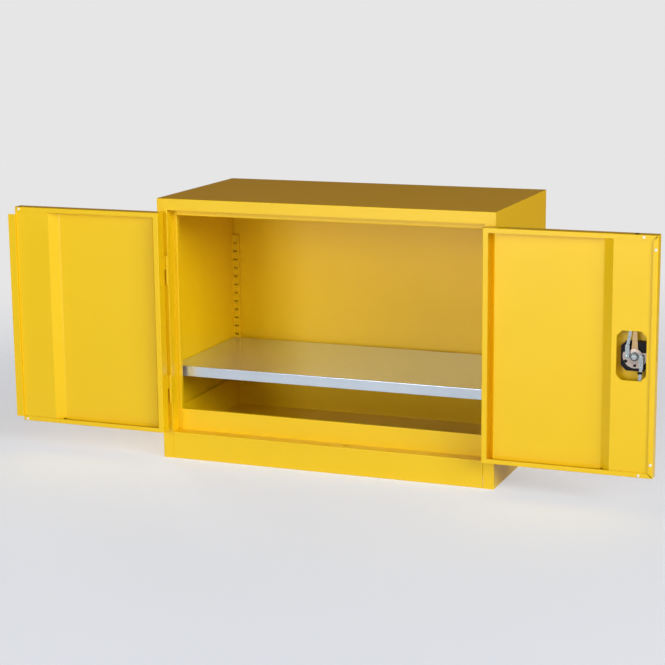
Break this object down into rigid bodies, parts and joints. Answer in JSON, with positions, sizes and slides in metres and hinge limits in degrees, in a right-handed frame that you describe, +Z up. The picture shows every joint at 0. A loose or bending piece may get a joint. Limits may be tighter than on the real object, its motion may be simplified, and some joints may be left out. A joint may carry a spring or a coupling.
{
  "type": "hazardous storage cupboard",
  "caption": "Low steel floor cupboard for hazardous liquids: twin hinged doors, lockable turn handle driving rods and tongue, adjustable shelf over a spill sump.",
  "frame": {"origin": "on the floor, at the middle of the cupboard's front plane", "axes": "+X to the right seen from the front, +Y to the back of the cupboard, +Z up"},
  "size_m": [1.741, 0.5129, 0.695],
  "materials": {
    "yellow_powder_coat": "semi-gloss powder coat",
    "galvanised_steel": "galvanised",
    "zinc_plated_steel": "bright zinc plate",
    "black_plastic": "moulded, satin",
    "white_rubber": "moulded, semi-gloss",
    "nickel_plated_brass": "polished"
  },
  "bodies": {
    "carcass": {"left_side_panel": "yellow_powder_coat", "front_left_upright": "yellow_powder_coat", "front_left_shelf_clip": "zinc_plated_steel", "rear_left_upright": "yellow_powder_coat", "rear_left_shelf_clip": "zinc_plated_steel", "left_upper_hinge_frame_leaf": "yellow_powder_coat", "left_upper_hinge_pin": "zinc_plated_steel", "left_lower_hinge_frame_leaf": "yellow_powder_coat", "left_lower_hinge_pin": "zinc_plated_steel", "right_side_panel": "yellow_powder_coat", "front_right_upright": "yellow_powder_coat", "front_right_shelf_clip": "zinc_plated_steel", "rear_right_upright": "yellow_powder_coat", "rear_right_shelf_clip": "zinc_plated_steel", "right_upper_hinge_frame_leaf": "yellow_powder_coat", "right_upper_hinge_pin": "zinc_plated_steel", "right_lower_hinge_frame_leaf": "yellow_powder_coat", "right_lower_hinge_pin": "zinc_plated_steel", "back_panel": "yellow_powder_coat", "top_panel": "yellow_powder_coat", "kick_plate": "yellow_powder_coat", "base_panel": "yellow_powder_coat", "sump_tray": "yellow_powder_coat", "shelf": "galvanised_steel"},
    "left_door": {"left_upper_hinge_door_leaf": "yellow_powder_coat", "left_lower_hinge_door_leaf": "yellow_powder_coat", "left_door_skin": "yellow_powder_coat", "left_door_inner_panel": "yellow_powder_coat", "left_door_upper_buffer": "white_rubber", "left_door_lower_buffer": "white_rubber"},
    "right_door": {"right_upper_hinge_door_leaf": "yellow_powder_coat", "right_lower_hinge_door_leaf": "yellow_powder_coat", "right_door_skin": "yellow_powder_coat", "right_door_inner_panel": "yellow_powder_coat", "handle_dish": "black_plastic", "lock_plate": "zinc_plated_steel", "right_door_upper_side_buffer": "white_rubber", "right_door_upper_end_buffer": "white_rubber", "right_door_lower_side_buffer": "white_rubber", "right_door_lower_end_buffer": "white_rubber"},
    "handle": {"turn_handle": "black_plastic", "lock_tongue": "zinc_plated_steel", "cam_plate": "zinc_plated_steel", "spindle_nut": "zinc_plated_steel"},
    "key": {"key_cylinder": "nickel_plated_brass"},
    "upper_rod": {"upper_lock_rod": "zinc_plated_steel", "upper_rod_link": "zinc_plated_steel"},
    "lower_rod": {"lower_lock_rod": "zinc_plated_steel", "lower_rod_link": "zinc_plated_steel"}
  },
  "joints": [
    {"name": "left_door_hinge", "type": "hinge", "parent": "carcass", "child": "left_door", "pos_m": [-0.431, -0.0042, 0], "axis": [0, 0, 1], "range_deg": [0, 180]},
    {"name": "right_door_hinge", "type": "hinge", "parent": "carcass", "child": "right_door", "pos_m": [0.431, -0.0042, 0], "axis": [0, 0, -1], "range_deg": [0, 180]},
    {"name": "handle_turn", "type": "hinge", "parent": "right_door", "child": "handle", "pos_m": [0.8085, 0, 0.3695], "axis": [0, 1, 0], "range_deg": [0, 90]},
    {"name": "key_turn", "type": "hinge", "parent": "handle", "child": "key", "pos_m": [0.8085, 0, 0.3695], "axis": [0, 1, 0], "range_deg": [0, 90]},
    {"name": "upper_rod_pivot", "type": "hinge", "parent": "handle", "child": "upper_rod", "pos_m": [0.792, 0, 0.3695], "axis": [0, 1, 0], "range_deg": [-93.3, 0]},
    {"name": "lower_rod_pivot", "type": "hinge", "parent": "handle", "child": "lower_rod", "pos_m": [0.825, 0, 0.3695], "axis": [0, 1, 0], "range_deg": [-93.3, 0]}
  ],
  "couplings": [
    {"joint": "upper_rod_pivot", "follows": "handle_turn", "ratio": -1.0359},
    {"joint": "lower_rod_pivot", "follows": "handle_turn", "ratio": -1.0359}
  ]
}
